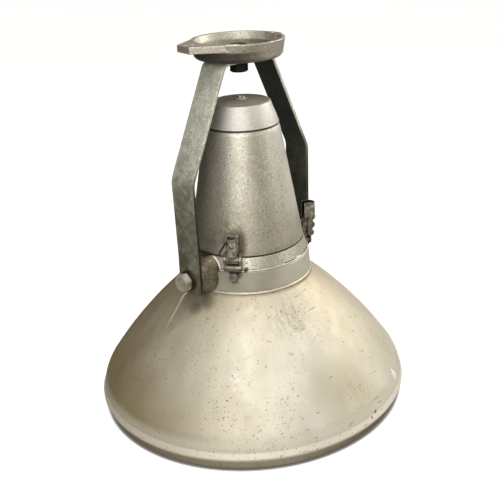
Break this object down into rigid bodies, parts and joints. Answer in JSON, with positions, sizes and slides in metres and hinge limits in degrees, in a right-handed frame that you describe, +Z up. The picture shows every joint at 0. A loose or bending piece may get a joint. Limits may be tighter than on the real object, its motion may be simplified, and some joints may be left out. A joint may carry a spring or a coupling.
{
  "type": "high-bay pendant lamp fixture",
  "caption": "Industrial pendant lamp with a bell reflector closed by glass, a tapered cast housing held by toggle latches, and a tilting yoke under a swivelling ceiling plate.",
  "frame": {"origin": "centre of the rim's lowest plane, on the lamp's axis", "axes": "+Z up the lamp's axis from the glass to the ceiling plate, +X along the yoke's tilt axis towards the right pivot bolt, +Y completes the right-handed set"},
  "size_m": [0.47, 0.47, 0.5516],
  "materials": {
    "enamel": "aged cream stove enamel, semi-gloss, pitted",
    "grey_paint": "smooth light grey paint",
    "cast": "sand-cast, speckled, dulled",
    "satin_cast": "satin turned side, stained top",
    "galvanised": "hot-dip galvanised, spangled, weathered",
    "zinc": "worn zinc plate",
    "dark_steel": "blackened steel",
    "bright_steel": "plated steel, lightly stained",
    "polished": "polished aluminium reflector sheet",
    "glass": "clear toughened glass",
    "rubber": "black-brown ribbed silicone rubber",
    "ceramic": "off-white porcelain",
    "brass": "nickelled brass",
    "insulation": "heat-proof sleeving"
  },
  "bodies": {
    "lamp": {"reflector": "enamel", "lens_gasket": "rubber", "lens_glass": "glass", "reflector_collar": "grey_paint", "collar_seal": "rubber", "suspension_ring": "cast", "body_seal": "rubber", "housing_body": "cast", "cap_seal": "rubber", "housing_cap": "satin_cast", "cable_bush": "brass", "neck_ring": "polished", "neck_screw_1": "bright_steel", "neck_screw_2": "bright_steel", "neck_screw_3": "bright_steel", "neck_funnel": "polished", "lampholder_body": "ceramic", "lampholder_shell": "brass", "lampholder_bracket": "galvanised", "bracket_screw_left": "bright_steel", "bracket_screw_right": "bright_steel", "earth_screw": "brass", "terminal_block": "ceramic", "lead_live": "insulation", "lead_neutral": "insulation", "pivot_bolt_left": "bright_steel", "pivot_bolt_right": "bright_steel", "pivot_washer_left": "dark_steel", "pivot_washer_right": "dark_steel", "pivot_lock_washer_left": "dark_steel", "pivot_lock_washer_right": "dark_steel", "safety_wire": "bright_steel", "latch_wire": "dark_steel", "latch_base_1": "zinc", "latch_pin_1": "bright_steel", "latch_keeper_1": "zinc", "latch_base_2": "zinc", "latch_pin_2": "bright_steel", "latch_keeper_2": "zinc", "latch_base_3": "zinc", "latch_pin_3": "bright_steel", "latch_keeper_3": "zinc"},
    "yoke_arm": {"yoke": "galvanised"},
    "ceiling_plate": {"mounting_plate": "cast", "plate_bolt": "dark_steel", "plate_nut": "dark_steel", "plate_washer_upper": "bright_steel", "plate_washer_lower": "bright_steel"},
    "sprung_contact": {"lampholder_contact": "brass"},
    "lever_1": {"latch_lever_1": "zinc"},
    "bail_1": {"latch_bail_1": "zinc"},
    "lever_2": {"latch_lever_2": "zinc"},
    "bail_2": {"latch_bail_2": "zinc"},
    "lever_3": {"latch_lever_3": "zinc"},
    "bail_3": {"latch_bail_3": "zinc"}
  },
  "joints": [
    {"name": "yoke_tilt", "type": "hinge", "parent": "lamp", "child": "yoke_arm", "pos_m": [0, 0, 0.2122], "axis": [1, 0, 0], "range_deg": [-90, 25]},
    {"name": "plate_swivel", "type": "hinge", "parent": "yoke_arm", "child": "ceiling_plate", "pos_m": [0, 0, 0.522], "axis": [0, 0, 1], "continuous": true},
    {"name": "contact_slide", "type": "slide", "parent": "lamp", "child": "sprung_contact", "axis": [0, 0, 1], "range_m": [0, 0.002], "stiffness_N_per_m": 800, "springref_m": -0.002},
    {"name": "lever_1_turn", "type": "hinge", "parent": "lamp", "child": "lever_1", "pos_m": [-0.08554, -0.05555, 0.246], "axis": [0.5446, -0.8387, 0], "range_deg": [0, 100]},
    {"name": "bail_1_turn", "type": "hinge", "parent": "lever_1", "child": "bail_1", "pos_m": [-0.08387, -0.05446, 0.254], "axis": [0.5446, -0.8387, 0], "range_deg": [-100, 0]},
    {"name": "lever_2_turn", "type": "hinge", "parent": "lamp", "child": "lever_2", "pos_m": [0.09088, -0.04631, 0.246], "axis": [0.454, 0.891, 0], "range_deg": [0, 100]},
    {"name": "bail_2_turn", "type": "hinge", "parent": "lever_2", "child": "bail_2", "pos_m": [0.0891, -0.0454, 0.254], "axis": [0.454, 0.891, 0], "range_deg": [-100, 0]},
    {"name": "lever_3_turn", "type": "hinge", "parent": "lamp", "child": "lever_3", "pos_m": [-0.00534, 0.10186, 0.246], "axis": [-0.9986, -0.0523, 0], "range_deg": [0, 100]},
    {"name": "bail_3_turn", "type": "hinge", "parent": "lever_3", "child": "bail_3", "pos_m": [-0.00523, 0.09986, 0.254], "axis": [-0.9986, -0.0523, 0], "range_deg": [-100, 0]}
  ],
  "couplings": [
    {"joint": "bail_1_turn", "follows": "lever_1_turn", "ratio": -1},
    {"joint": "bail_2_turn", "follows": "lever_2_turn", "ratio": -1},
    {"joint": "bail_3_turn", "follows": "lever_3_turn", "ratio": -1}
  ]
}
